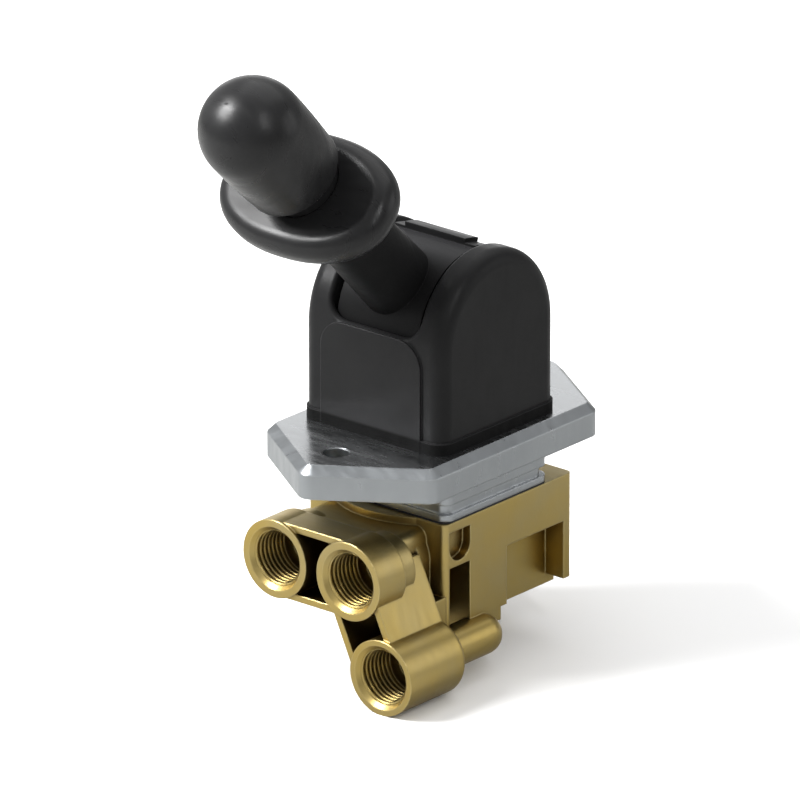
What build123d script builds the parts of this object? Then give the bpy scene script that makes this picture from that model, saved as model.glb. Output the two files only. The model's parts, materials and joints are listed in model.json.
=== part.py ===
"""Lever-operated pilot pressure valve: leaning lever with a lift collar, black hooded
cover, flat mounting flange and a die-cast body with three threaded ports.

Millimetres. Origin at the centre of the two flange bolts on the flange's underside,
+Z up towards the lever, -Y the way the ports face and the lever leans.
"""
from build123d import *
from math import cos, radians, sin, sqrt
import os

os.makedirs("parts", exist_ok=True)

# ---------------------------------------------------------------- clearances
running_clearance = 0.05      # radial, shaft in a bore that turns or slides
seat_gap = 0.3                # between pieces of different bodies that nearly touch
seam_overlap = 0.5            # how far one casting form runs into the next

# ---------------------------------------------------------------- mounting flange
flange_thickness = 8.5
flange_half_width = 27.5
flange_front_straight = 31.0
flange_front_apex = 49.5
flange_rear_straight = 32.6
flange_rear_apex = 51.2
flange_corner_radius = 4.0
flange_chamfer = 2.2
bolt_spacing = 72.0
bolt_hole_radius = 3.3
neck_width = 44.6
neck_depth = 40.4
neck_height = 9.6
neck_groove_top = 5.4         # groove round the neck, below the flange
neck_groove_height = 2.6
neck_groove_depth = 1.0
neck_corner_radius = 3.0
spring_bore_radius = 12.0
guide_roof = 3.0

# ---------------------------------------------------------------- cover
cover_width = 45.4
arch_radius = 22.4
arch_drop = 0.6               # centre of the arch below the pivot
cover_lip = 0.6
cover_lip_height = 3.2
pivot_above_flange = 26.3
cover_wall = 2.6
cover_edge_radius = 4.0
slot_half_width = 14.5
front_corner_radius = 5.5
rear_corner_radius = 1.0
slot_edge_radius = 1.2
panel_wall = 1.6
panel_stand = 0.7
panel_half_width = 16.2
panel_corner_radius = 7.2
front_panel_top = 28.4
rear_panel_top = 24.5
cheek_inner_wall = 2.2
cheek_boss_radius = 7.0
cover_screw_x = 17.6
cover_screw_y = 5.5
cover_screw_post_radius = 3.1
cover_screw_radius = 1.5
cover_screw_length = 15.0
cover_screw_head_radius = 2.8
cover_screw_head_height = 2.4
cover_screw_sink = 1.5        # depth of metal over the sunk head
cover_post_floor = 2.0
cover_screw_end_gap = 3.5
small_socket_radius = 1.2

# ---------------------------------------------------------------- pivot and drum
pivot_pin_radius = 4.0
pivot_pin_half_length = 20.5
bush_wall = 1.5
bush_flange_radius = 7.2
bush_flange_thickness = 0.8
pin_chamfer = 0.5
drum_radius = 20.2
drum_wall = 1.5
drum_half_width = 13.2
disc_outer_x = 10.5
disc_inner_x = 8.5
shield_front_angle = 158.0    # from upright towards the front
shield_rear_angle = 88.0      # from upright towards the back
saddle_radius = 20.9
saddle_front_angle = 5.5      # both from upright towards the back
saddle_rear_angle = 19.0
thumb_rib_radius = 22.0
thumb_rib_half_width = 9.8
drum_floor = 3.0              # rod hole starts this far inside the drum's shell
neck_start = 0.7              # share of the drum's radius

# ---------------------------------------------------------------- lever
lever_lean = 45.0             # rest pose, from upright towards the front
lever_travel = 70.0           # back from the rest pose
neck_root_radius = 9.7
neck_tip_radius = 8.9
tube_radius = 6.0
tube_bore_radius = 3.2
tube_start = 21.6
tube_end = 97.0
rod_start = 10.6
grip_radius = 13.6
grip_tip = 108.5
grip_ball_centre = 95.0
grip_skirt_start = 73.0
grip_skirt_radius = 12.6
grip_sleeve_start = 66.6
grip_sleeve_wall = 1.0
grip_spring_seat = 78.0
grip_skirt_step = 1.0
rod_chamfer = 0.4

# ---------------------------------------------------------------- lift collar
collar_lift = 4.2
collar_centre = 63.4
collar_half_length = 25.8
collar_half_width = 16.7
collar_drop = 1.4             # towards the front and below
collar_fullness = 2.25        # exponent of the outline, 2 for a plain ellipse
collar_steps = 32
collar_thickness = 9.8
collar_edge_radius = 4.4
collar_bore_radius = 9.8
collar_base_thickness = 3.0
collar_pin_radius = 1.25
latch_pin_radius = 1.5
latch_pin_half_length = 13.8
gate_radius = 10.4
gate_thickness = 2.5
gate_notch_depth = 2.2
gate_foot_half_width = 5.0

# ---------------------------------------------------------------- cam and tappet
cam_lift = 5.0
cam_high = 13.0
cam_half_width = 5.0
cam_hub_radius = 7.4
cam_margin = 8.0              # degrees of profile beyond each end of the travel
dowel_radius = 1.5
dowel_distance = 9.4
dowel_angle = 16.0            # from straight down towards the back
tappet_head_radius = 6.5
tappet_head_thickness = 3.0
tappet_rod_radius = 3.5
guide_wall = 1.5
guide_flange_radius = 7.0
guide_flange_thickness = 1.2
cup_height = 3.6
cup_wall = 1.6
cup_top = 0.2                 # height of the cup's top over the mounting face at rest

# ---------------------------------------------------------------- valve body
gasket_thickness = 0.5
body_half_width = 22.5
body_front = 20.7
body_back = 29.0
body_bottom = -38.0
body_corner_radius = 1.6
barrel_radius = 24.5
plate_half_width = 17.5
plate_front = 24.8
plate_top = -12.1
plate_bottom = -35.2
plate_corner_radius = 8.0
block_half_width = 16.4
block_front = 36.0
block_bottom = -29.0
block_corner_radius = 3.0
port_face = 45.7
port_row_z = -20.0
port_pitch = 24.0
low_port_x = 22.6
low_port_z = -43.0
boss_radius = 10.25
boss_root_radius = 8.7
boss_root_back = 30.0
low_boss_radius = 9.9
low_boss_back = 23.7
low_boss_round = 2.0
rib_radius = 5.3
rib_back = 1.5
foot_width = 16.0
low_boss_seat = 6.0
low_boss_reach = 1.5
web_edge = 0.2
port_bore_radius = 7.25       # tapping size of the M16 x 1.5 thread
port_lip_radius = 8.4
port_depth = 12.0
passage_radius = 4.0
web_thickness = 1.8
web_setback = 1.0
inner_link_offset = 5.2
outer_link_offset = 8.2
passage_length = 5.0
front_screw = (13.0, -15.0)
rear_screw = (11.0, 16.0)
screw_channel_radius = 4.0
screw_ledge_z = -22.0
screw_radius = 2.0
screw_length = 20.0
screw_head_radius = 3.5
screw_head_height = 4.0
screw_socket_radius = 1.7
screw_socket_depth = 2.0
screw_tip_gap = 1.0
window_z = -16.6
window_radius = 4.1
window_depth = 2.6
pillar_front = 10.7
pillar_back = 1.0
pillar_bottom = -41.5
pocket_front = 3.3
pocket_back = 25.6
pocket_top = -22.4
pocket_depth = 6.0
skirt_width = 4.2             # lower edge of the pocket's inner wall
skirt_drop = 2.7
core_size = 3.6
core_depth = 2.6

# ---------------------------------------------------------------- valve internals
piston_radius = 15.0
piston_bore_floor = -21.5
piston_top = -13.2
piston_thickness = 6.6
piston_recess = 2.0
piston_chamfer = 0.5
exhaust_depth = 4.0
exhaust_tube_radius = 4.5
exhaust_bore_radius = 2.2
seat_web_bottom = -24.0
seat_radius = 6.0
seat_ring_wall = 1.5
inlet_opening = 1.5
chamber_radius = 10.0
poppet_radius = 8.0
poppet_thickness = 2.4
poppet_stem_radius = 3.6
poppet_stem_end = -35.6
seat_lip_round = 0.5
cap_thickness = 4.6
cap_guide_wall = 1.7
cap_guide_height = 3.0
cap_floor = 0.9
ring_thickness = 1.0
ring_groove_depth = 0.8
ring_height = 0.2             # above the body's underside
ring_width = 1.6
ring_gap_width = 4.0
ring_lug_pitch = 3.4
ring_lug_inset = 2.0
ring_lug_radius = 1.5
ring_hole_radius = 0.6
o_ring_radius = 0.9
groove_spare = 0.4
edge_break = 0.4
fine_edge_break = 0.3

# ---------------------------------------------------------------- springs
main_wire = 1.1
main_coil_radius = 8.6
main_turns = 4
collar_wire = 0.55
collar_coil_radius = 7.7
collar_turns = 4
valve_wire = 0.5
valve_coil_radius = 6.6
valve_turns = 3

# ---------------------------------------------------------------- derived places
pivot_z = flange_thickness + pivot_above_flange
screw_places = [(s * x, y) for x, y in (front_screw, rear_screw) for s in (-1, 1)]
body_top = -neck_height - gasket_thickness
lean = radians(lever_lean)
travel = radians(lever_travel)
lift_per_radian = cam_lift / travel
lever_plane = Plane(
    origin=(0, 0, pivot_z), x_dir=(1, 0, 0), z_dir=(0, -sin(lean), cos(lean))
)
pivot_plane = Plane(origin=(0, 0, pivot_z), x_dir=(0, 1, 0), z_dir=(1, 0, 0))


def save(builder, name):
    builder.part.label = name
    export_step(builder.part, f"parts/{name}.step")


def lever_at(distance):
    return lever_plane.offset(distance)


def facing_front(y, x=0, z=0):
    """Sketch plane that looks towards the ports, at depth y, centred on (x, z)."""
    return Plane(origin=(x, y, z), x_dir=(1, 0, 0), z_dir=(0, -1, 0))


def tombstone(inset, bottom, drop=arch_drop):
    """Cover outline in the pivot plane: straight sides under a round arch."""
    reach = arch_radius - inset
    with BuildLine() as outline:
        Line((-reach, bottom), (reach, bottom))
        Line((reach, bottom), (reach, -drop))
        ThreePointArc((reach, -drop), (0, reach - drop), (-reach, -drop))
        Line((-reach, -drop), (-reach, bottom))
    return outline.edges()


# ================================================================ mounting flange
with BuildPart() as mounting_flange:
    with BuildSketch() as flange_outline:
        with BuildLine():
            Polyline(
                (0, -flange_front_apex),
                (flange_half_width, -flange_front_straight),
                (flange_half_width, flange_rear_straight),
                (0, flange_rear_apex),
                (-flange_half_width, flange_rear_straight),
                (-flange_half_width, -flange_front_straight),
                close=True,
            )
        make_face()
        fillet(flange_outline.vertices(), flange_corner_radius)
    extrude(amount=flange_thickness)
    chamfer(mounting_flange.faces().sort_by(Axis.Z)[-1].edges(), flange_chamfer)
    neck_groove_end = neck_groove_top + neck_groove_height
    for top, bottom, inset in (
        (0, neck_groove_top, 0),
        (neck_groove_top, neck_groove_end, neck_groove_depth),
        (neck_groove_end, neck_height, 0),
    ):
        with BuildSketch(Plane.XY.offset(-top)):
            RectangleRounded(neck_width - 2 * inset, neck_depth - 2 * inset, neck_corner_radius)
        extrude(amount=top - bottom)
    with BuildSketch(Plane.XY.offset(-neck_height)):
        Circle(spring_bore_radius + running_clearance)
    extrude(amount=neck_height + flange_thickness - guide_roof, mode=Mode.SUBTRACT)
    with Locations((0, bolt_spacing / 2, 0), (0, -bolt_spacing / 2, 0)):
        Hole(bolt_hole_radius)
    Hole(tappet_rod_radius + running_clearance + guide_wall)
    # tapped holes for the body screws
    with BuildSketch(Plane.XY.offset(-neck_height)):
        with Locations(*screw_places):
            Circle(screw_radius)
    tapped_depth = screw_ledge_z + screw_length + neck_height + screw_tip_gap
    extrude(amount=tapped_depth, mode=Mode.SUBTRACT)
    # cover screws go up through the neck, heads sunk into its underside
    with Locations(Plane.XY.offset(-neck_height)):
        with GridLocations(2 * cover_screw_x, 2 * cover_screw_y, 2, 2):
            Cylinder(
                cover_screw_head_radius + seat_gap,
                neck_height - cover_screw_sink + seam_overlap,
                align=(Align.CENTER, Align.CENTER, Align.MIN),
                mode=Mode.SUBTRACT,
            )
            Cylinder(
                cover_screw_radius + seat_gap,
                neck_height + flange_thickness,
                align=(Align.CENTER, Align.CENTER, Align.MIN),
                mode=Mode.SUBTRACT,
            )
save(mounting_flange, "mounting_flange")


# ================================================================ cover
cover_bottom = -pivot_above_flange
pocket_x = slot_half_width + cheek_inner_wall
with BuildPart() as cover:
    with BuildSketch(pivot_plane):
        make_face(tombstone(0, cover_bottom))
    extrude(amount=cover_width / 2, both=True)
    for side in (0, -1):
        rim = cover.faces().sort_by(Axis.X)[side].edges()
        fillet(rim.filter_by(lambda e: e.center().Z > flange_thickness + 1), cover_edge_radius)
    with BuildSketch(Plane.XY.offset(flange_thickness)):
        RectangleRounded(
            cover_width + 2 * cover_lip,
            2 * (arch_radius + cover_lip),
            cover_edge_radius + cover_lip,
        )
    extrude(amount=cover_lip_height)
    # front panel that stands a little proud of the cheeks
    with BuildSketch(facing_front(-arch_radius, z=flange_thickness)) as front_panel:
        Rectangle(2 * panel_half_width, front_panel_top, align=(Align.CENTER, Align.MIN))
        fillet(front_panel.vertices().group_by(Axis.Y)[-1], panel_corner_radius)
    extrude(amount=panel_stand)
    # hollow between the cheeks, then the slot over the arch
    with BuildSketch(pivot_plane):
        make_face(tombstone(panel_wall, cover_bottom, drop=0))
    extrude(amount=slot_half_width, both=True, mode=Mode.SUBTRACT)
    for front, panel_top, corner_radius in (
        (-1, front_panel_top, front_corner_radius),
        (1, rear_panel_top, rear_corner_radius),
    ):
        with BuildSketch(facing_front(0, z=flange_thickness + panel_top)) as slot:
            Rectangle(2 * slot_half_width, 2 * arch_radius, align=(Align.CENTER, Align.MIN))
            fillet(slot.vertices().group_by(Axis.Y)[0], corner_radius)
        extrude(amount=-front * 2 * arch_radius, mode=Mode.SUBTRACT)
    slot_rims = cover.edges().filter_by(GeomType.CIRCLE).filter_by(
        lambda e: abs(e.radius - arch_radius) < seat_gap
        and abs(abs(e.center().X) - slot_half_width) < seat_gap
    )
    fillet(slot_rims, slot_edge_radius)
    # the cheeks are moulded hollow, open below, round a boss for the pivot pin
    for side in (-1, 1):
        cheek_face = Plane(
            origin=(side * pocket_x, 0, pivot_z), x_dir=(0, side, 0), z_dir=(side, 0, 0)
        )
        with BuildSketch(cheek_face):
            make_face(tombstone(cover_wall, cover_bottom))
            Circle(cheek_boss_radius, mode=Mode.SUBTRACT)
        extrude(amount=cover_width / 2 - cover_wall - pocket_x, mode=Mode.SUBTRACT)
    with Locations((0, 0, flange_thickness)):
        with GridLocations(2 * cover_screw_x, 2 * cover_screw_y, 2, 2):
            Cylinder(
                cover_screw_post_radius,
                cover_screw_length,
                align=(Align.CENTER, Align.CENTER, Align.MIN),
            )
            Cylinder(
                cover_screw_radius,
                cover_screw_length - cover_post_floor,
                align=(Align.CENTER, Align.CENTER, Align.MIN),
                mode=Mode.SUBTRACT,
            )
    with Locations((0, 0, pivot_z)):
        Cylinder(
            pivot_pin_radius,
            2 * pivot_pin_half_length,
            rotation=(0, 90, 0),
            mode=Mode.SUBTRACT,
        )
save(cover, "cover")

# ================================================================ cover screws
for number, (x, y) in enumerate(((-1, -1), (1, -1), (-1, 1), (1, 1)), start=1):
    with BuildPart() as cover_screw:
        seat = Plane(origin=(x * cover_screw_x, y * cover_screw_y, seam_overlap - cover_screw_sink))
        with BuildSketch(seat):
            Circle(cover_screw_head_radius)
        extrude(amount=-cover_screw_head_height)
        chamfer(cover_screw.faces().sort_by(Axis.Z)[0].edges(), edge_break)
        with BuildSketch(seat):
            Circle(cover_screw_radius)
        extrude(amount=flange_thickness + cover_screw_length - cover_screw_end_gap)
        with BuildSketch(seat.offset(-cover_screw_head_height)):
            RegularPolygon(small_socket_radius, 6)
        extrude(amount=small_socket_radius, mode=Mode.SUBTRACT)
    save(cover_screw, f"cover_screw_{number}")

# ================================================================ pivot pin and bushes
with BuildPart() as pivot_pin:
    with Locations((0, 0, pivot_z)):
        Cylinder(pivot_pin_radius, 2 * pivot_pin_half_length, rotation=(0, 90, 0))
    chamfer(pivot_pin.edges().filter_by(GeomType.CIRCLE), pin_chamfer)
save(pivot_pin, "pivot_pin")

bush_radius = pivot_pin_radius + running_clearance + bush_wall
for side, name in ((-1, "pivot_bush_left"), (1, "pivot_bush_right")):
    with BuildPart() as pivot_bush:
        inner_face = Plane(
            origin=(side * disc_inner_x, 0, pivot_z), x_dir=(0, 1, 0), z_dir=(side, 0, 0)
        )
        with BuildSketch(inner_face):
            Circle(bush_radius)
        extrude(amount=disc_outer_x - disc_inner_x)
        with BuildSketch(inner_face):
            Circle(bush_flange_radius)
        extrude(amount=-bush_flange_thickness)
        with BuildSketch(inner_face.offset(-bush_flange_thickness)):
            Circle(pivot_pin_radius + running_clearance)
        extrude(amount=2 * disc_outer_x, mode=Mode.SUBTRACT)
    save(pivot_bush, name)


# ================================================================ lever drum
def towards(angle, radius):
    """Point in the pivot plane, angle in degrees from upright towards the front."""
    return (-radius * sin(radians(angle)), radius * cos(radians(angle)))


def fan(first, last, steps=8):
    """Wide wedge in the pivot plane between two angles from upright."""
    reach = 3 * drum_radius
    angles = [first + (last - first) * i / steps for i in range(steps + 1)]
    with BuildLine() as outline:
        Polyline((0, 0), *[towards(a, reach) for a in angles], close=True)
    return outline.edges()


latch_distance = gate_radius + seat_gap + latch_pin_radius
drum_inner = drum_radius - drum_wall
collar_base = collar_centre - collar_thickness / 2
neck_tip_distance = collar_base - seat_gap
with BuildPart() as lever_drum:
    with BuildSketch(pivot_plane):
        Circle(drum_radius)
    extrude(amount=drum_half_width, both=True)
    # raised saddle behind the lever, with a rib across it
    for radius, half_width in (
        (saddle_radius, drum_half_width),
        (thumb_rib_radius, thumb_rib_half_width),
    ):
        with BuildSketch(pivot_plane):
            Circle(radius)
            make_face(fan(-saddle_front_angle, -saddle_rear_angle), mode=Mode.INTERSECT)
        extrude(amount=half_width, both=True)
    # neck that carries the lever tube
    with BuildSketch(lever_at(neck_start * drum_radius)):
        Circle(neck_root_radius)
    with BuildSketch(lever_at(neck_tip_distance)):
        Circle(neck_tip_radius)
    loft()
    # hollow between the discs and outside them
    with BuildSketch(pivot_plane):
        Circle(drum_inner)
    extrude(amount=disc_inner_x, both=True, mode=Mode.SUBTRACT)
    for side in (-1, 1):
        with BuildSketch(pivot_plane.offset(side * disc_outer_x)):
            Circle(drum_inner)
        extrude(amount=side * drum_half_width, mode=Mode.SUBTRACT)
    # the shield is open below, where the tappet comes up
    with BuildSketch(pivot_plane):
        Circle(drum_radius + 1)
        Circle(drum_inner, mode=Mode.SUBTRACT)
        make_face(fan(shield_front_angle, 360 - shield_rear_angle), mode=Mode.INTERSECT)
    extrude(amount=drum_half_width, both=True, mode=Mode.SUBTRACT)
    # bush seats, tube socket, rod hole, dowel hole and latch slots
    with Locations((0, 0, pivot_z)):
        Cylinder(bush_radius, 2 * disc_outer_x, rotation=(0, 90, 0), mode=Mode.SUBTRACT)
    with BuildSketch(lever_at(tube_start)):
        Circle(tube_radius)
    extrude(amount=neck_tip_distance, mode=Mode.SUBTRACT)
    with BuildSketch(lever_at(drum_inner - drum_floor)):
        Circle(tube_bore_radius)
    extrude(amount=tube_start, mode=Mode.SUBTRACT)
    slot_plane = Plane(
        origin=lever_plane.from_local_coords((0, 0, latch_distance + collar_lift / 2)),
        x_dir=(0, -sin(lean), cos(lean)),
        z_dir=(1, 0, 0),
    )
    with BuildSketch(slot_plane):
        SlotCenterToCenter(collar_lift, 2 * (latch_pin_radius + seat_gap))
    extrude(amount=disc_outer_x, both=True, mode=Mode.SUBTRACT)
    dowel_place = (
        0,
        dowel_distance * sin(radians(dowel_angle)),
        pivot_z - dowel_distance * cos(radians(dowel_angle)),
    )
    with Locations(dowel_place):
        Cylinder(dowel_radius, 2 * disc_outer_x, rotation=(0, 90, 0), mode=Mode.SUBTRACT)
save(lever_drum, "lever_drum")


# ================================================================ cam and dowel
def cam_point(angle):
    """Involute flank: its distance to a flat tappet falls evenly as the lever goes back."""
    reach = cam_high - lift_per_radian * angle
    slope = -lift_per_radian
    return (
        reach * sin(angle) + slope * cos(angle),
        -reach * cos(angle) + slope * sin(angle),
    )


cam_first = -radians(cam_margin)
cam_last = travel + radians(cam_margin)
cam_steps = 10
cam_angles = [cam_first + (cam_last - cam_first) * i / cam_steps for i in range(cam_steps + 1)]
cam_hub_half = disc_inner_x - bush_flange_thickness
with BuildPart() as cam:
    with BuildSketch(pivot_plane):
        Circle(cam_hub_radius)
    extrude(amount=cam_hub_half, both=True)
    with BuildSketch(pivot_plane):
        with BuildLine():
            nose = Spline(*[cam_point(angle) for angle in cam_angles])
            Line(nose @ 1, (0, 0))
            Line((0, 0), nose @ 0)
        make_face()
    extrude(amount=cam_half_width, both=True)
    with Locations((0, 0, pivot_z)):
        Cylinder(
            pivot_pin_radius + running_clearance,
            2 * disc_outer_x,
            rotation=(0, 90, 0),
            mode=Mode.SUBTRACT,
        )
    with Locations(dowel_place):
        Cylinder(dowel_radius, 2 * disc_outer_x, rotation=(0, 90, 0), mode=Mode.SUBTRACT)
save(cam, "cam")

with BuildPart() as cam_dowel:
    with Locations(dowel_place):
        Cylinder(dowel_radius, 2 * disc_outer_x, rotation=(0, 90, 0))
    chamfer(cam_dowel.edges().filter_by(GeomType.CIRCLE), fine_edge_break)
save(cam_dowel, "cam_dowel")

# ================================================================ lock gates
gate_inner_x = slot_half_width - gate_thickness
for side, name in ((-1, "gate_plate_left"), (1, "gate_plate_right")):
    with BuildPart() as gate_plate:
        gate_face = Plane(
            origin=(side * slot_half_width, 0, pivot_z), x_dir=(0, 1, 0), z_dir=(1, 0, 0)
        )
        with BuildSketch(gate_face):
            Circle(gate_radius)
            with Locations((0, -pivot_above_flange / 2)):
                Rectangle(2 * gate_foot_half_width, pivot_above_flange)
            Circle(pivot_pin_radius, mode=Mode.SUBTRACT)
            park = towards(lever_lean - lever_travel, gate_radius)
            with Locations(Location(park, lever_travel - lever_lean)):
                Rectangle(
                    2 * (latch_pin_radius + seat_gap), 2 * gate_notch_depth, mode=Mode.SUBTRACT
                )
        extrude(amount=-side * gate_thickness)
    save(gate_plate, name)

# ================================================================ lever tube and grip
with BuildPart() as lever_tube:
    with BuildSketch(lever_at(tube_start)):
        Circle(tube_radius)
        Circle(tube_bore_radius, mode=Mode.SUBTRACT)
    extrude(amount=tube_end - tube_start)
    pin_distance = collar_base + collar_base_thickness / 2
    tube_slot = Plane(
        origin=lever_plane.from_local_coords((0, 0, pin_distance + collar_lift / 2)),
        x_dir=(0, -sin(lean), cos(lean)),
        z_dir=(1, 0, 0),
    )
    with BuildSketch(tube_slot):
        SlotCenterToCenter(collar_lift, 2 * (collar_pin_radius + seat_gap))
    extrude(amount=tube_radius + 1, both=True, mode=Mode.SUBTRACT)
save(lever_tube, "lever_tube")

grip_axis = Plane(
    origin=(0, 0, pivot_z), x_dir=(1, 0, 0), z_dir=(0, -cos(lean), -sin(lean))
)
sleeve_outer = collar_bore_radius - seat_gap
sleeve_inner = sleeve_outer - grip_sleeve_wall
grip_ball_radius = grip_tip - grip_ball_centre
with BuildPart() as lever_grip:
    with BuildSketch(grip_axis):
        with BuildLine():
            Polyline(
                (0, grip_tip),
                (0, tube_end),
                (tube_radius, tube_end),
                (tube_radius, grip_spring_seat),
                (sleeve_inner, grip_spring_seat),
                (sleeve_inner, grip_sleeve_start),
                (sleeve_outer, grip_sleeve_start),
                (sleeve_outer, grip_skirt_start),
                (grip_skirt_radius - grip_skirt_step, grip_skirt_start),
                (grip_skirt_radius, grip_skirt_start + grip_skirt_step),
            )
            Spline(
                (grip_skirt_radius, grip_skirt_start + grip_skirt_step),
                (grip_ball_radius, grip_ball_centre),
                tangents=[(0.08, 1), (0, 1)],
            )
            RadiusArc((grip_ball_radius, grip_ball_centre), (0, grip_tip), -grip_ball_radius)
        make_face()
    revolve(axis=Axis((0, 0, pivot_z), (0, -sin(lean), cos(lean))))
save(lever_grip, "lever_grip")


# ================================================================ lift collar
def collar_point(step):
    """Point of a full oval: an ellipse whose exponent is a little over two."""
    angle = radians(360 * step / collar_steps)
    across, along = cos(angle), sin(angle)
    power = 2 / collar_fullness
    x = abs(across) ** power * (1 if across > 0 else -1)
    y = abs(along) ** power * (1 if along > 0 else -1)
    return (collar_half_length * x, collar_half_width * y - collar_drop)


with BuildPart() as lift_collar:
    with BuildSketch(lever_at(collar_base)):
        with BuildLine():
            Spline(*[collar_point(step) for step in range(collar_steps)], periodic=True)
        make_face()
    extrude(amount=collar_thickness)
    fillet(lift_collar.edges(), collar_edge_radius)
    with BuildSketch(lever_at(collar_base + collar_base_thickness)):
        Circle(collar_bore_radius)
    extrude(amount=collar_thickness, mode=Mode.SUBTRACT)
    with BuildSketch(lever_at(collar_base)):
        Circle(tube_radius + running_clearance)
    extrude(amount=collar_thickness, mode=Mode.SUBTRACT)
    pin_plane = Plane(
        origin=lever_plane.from_local_coords((0, 0, pin_distance)),
        x_dir=(0, 1, 0),
        z_dir=(1, 0, 0),
    )
    with BuildSketch(pin_plane):
        Circle(collar_pin_radius)
    extrude(amount=collar_bore_radius, both=True, mode=Mode.SUBTRACT)
save(lift_collar, "lift_collar")

with BuildPart() as collar_pin:
    with BuildSketch(pin_plane):
        Circle(collar_pin_radius)
    extrude(amount=collar_bore_radius, both=True)
save(collar_pin, "collar_pin")

latch_plane = Plane(
    origin=lever_plane.from_local_coords((0, 0, latch_distance)),
    x_dir=(0, 1, 0),
    z_dir=(1, 0, 0),
)
with BuildPart() as lock_rod:
    with BuildSketch(lever_at(rod_start)):
        Circle(tube_bore_radius - running_clearance)
    extrude(amount=collar_base + collar_base_thickness - rod_start)
    chamfer(lock_rod.edges().filter_by(GeomType.CIRCLE), rod_chamfer)
    for place, radius in ((pin_plane, collar_pin_radius), (latch_plane, latch_pin_radius)):
        with BuildSketch(place):
            Circle(radius)
        extrude(amount=tube_radius, both=True, mode=Mode.SUBTRACT)
save(lock_rod, "lock_rod")

with BuildPart() as latch_pin:
    with BuildSketch(latch_plane):
        Circle(latch_pin_radius)
    extrude(amount=latch_pin_half_length, both=True)
    chamfer(latch_pin.edges().filter_by(GeomType.CIRCLE), fine_edge_break)
save(latch_pin, "latch_pin")


# ================================================================ springs
def spring(base, length, coil_radius, wire, turns):
    """Closed-section coil that stands on a plane and fills the length given."""
    pitch = (length - 2 * wire) / turns
    coil = Helix(pitch, length - 2 * wire, coil_radius)
    coil = base.offset(wire).location * coil
    section = Plane(origin=coil @ 0, z_dir=coil % 0)
    with BuildPart() as made:
        with BuildSketch(section):
            Circle(wire)
        sweep(path=coil)
    return made


spring_base = collar_base + collar_base_thickness
collar_spring = spring(
    lever_at(spring_base),
    grip_spring_seat - spring_base,
    collar_coil_radius,
    collar_wire,
    collar_turns,
)
save(collar_spring, "collar_spring")

# ================================================================ tappet and spring cup
tappet_top = pivot_z - cam_high
with BuildPart() as tappet:
    with BuildSketch(Plane.XY.offset(tappet_top)):
        Circle(tappet_head_radius)
    extrude(amount=-tappet_head_thickness)
    chamfer(tappet.edges(), edge_break)
    with BuildSketch(Plane.XY.offset(cup_top)):
        Circle(tappet_rod_radius)
    extrude(amount=tappet_top - tappet_head_thickness - cup_top)
save(tappet, "tappet")

guide_radius = tappet_rod_radius + running_clearance + guide_wall
with BuildPart() as tappet_guide:
    with BuildSketch(Plane.XY.offset(flange_thickness)):
        Circle(guide_flange_radius)
    extrude(amount=guide_flange_thickness)
    with BuildSketch(Plane.XY.offset(flange_thickness - guide_roof)):
        Circle(guide_radius)
    extrude(amount=guide_roof)
    Hole(tappet_rod_radius + running_clearance)
save(tappet_guide, "tappet_guide")

with BuildPart() as spring_cup:
    with BuildSketch(Plane.XY.offset(cup_top)):
        Circle(spring_bore_radius)
    extrude(amount=-cup_height)
    with BuildSketch(Plane.XY.offset(cup_top - cup_wall)):
        Circle(spring_bore_radius - cup_wall)
    extrude(amount=-cup_height, mode=Mode.SUBTRACT)
save(spring_cup, "spring_cup")

spring_floor = piston_top - piston_recess
main_spring = spring(
    Plane.XY.offset(spring_floor),
    cup_top - cup_wall - spring_floor,
    main_coil_radius,
    main_wire,
    main_turns,
)
save(main_spring, "main_spring")


# ================================================================ piston
def groove(z, floor_radius, outer_radius, width):
    """Square groove turned into the outside of a round piece."""
    with BuildSketch(Plane.XY.offset(z - width / 2)) as profile:
        Circle(outer_radius + 1)
        Circle(floor_radius, mode=Mode.SUBTRACT)
    extrude(profile.sketch, amount=width, mode=Mode.SUBTRACT)


def o_ring(z, outer_radius):
    with BuildPart() as ring:
        with Locations((0, 0, z)):
            Torus(outer_radius - o_ring_radius, o_ring_radius)
    return ring


piston_outer = piston_radius - running_clearance
piston_groove_z = piston_top - piston_thickness / 2
groove_width = 2 * o_ring_radius + groove_spare
poppet_top = seat_web_bottom - inlet_opening
with BuildPart() as piston:
    with BuildSketch(Plane.XY.offset(piston_top)):
        Circle(piston_outer)
    extrude(amount=-piston_thickness)
    chamfer(piston.edges(), piston_chamfer)
    with BuildSketch(Plane.XY.offset(piston_top)):
        Circle(main_coil_radius + main_wire + seat_gap)
    extrude(amount=-piston_recess, mode=Mode.SUBTRACT)
    with BuildSketch(Plane.XY.offset(poppet_top)):
        Circle(exhaust_tube_radius)
    extrude(amount=piston_top - piston_thickness - poppet_top)
    with BuildSketch(Plane.XY.offset(poppet_top)):
        Circle(exhaust_bore_radius)
    extrude(amount=exhaust_depth, mode=Mode.SUBTRACT)
    groove(piston_groove_z, piston_outer - 2 * o_ring_radius, piston_outer, groove_width)
save(piston, "piston")
piston_ring = o_ring(piston_groove_z, piston_outer)
save(piston_ring, "piston_ring")

# ================================================================ inlet seat, poppet, bottom cap
with BuildPart() as valve_seat:
    with BuildSketch(Plane.XY.offset(piston_bore_floor)):
        Circle(seat_radius + seat_ring_wall)
        Circle(seat_radius, mode=Mode.SUBTRACT)
    extrude(amount=seat_web_bottom - piston_bore_floor)
    seat_rims = valve_seat.edges().filter_by(GeomType.CIRCLE).group_by(Axis.Z)[0]
    fillet(seat_rims.sort_by(SortBy.RADIUS)[0], seat_lip_round)
save(valve_seat, "valve_seat")

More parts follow.
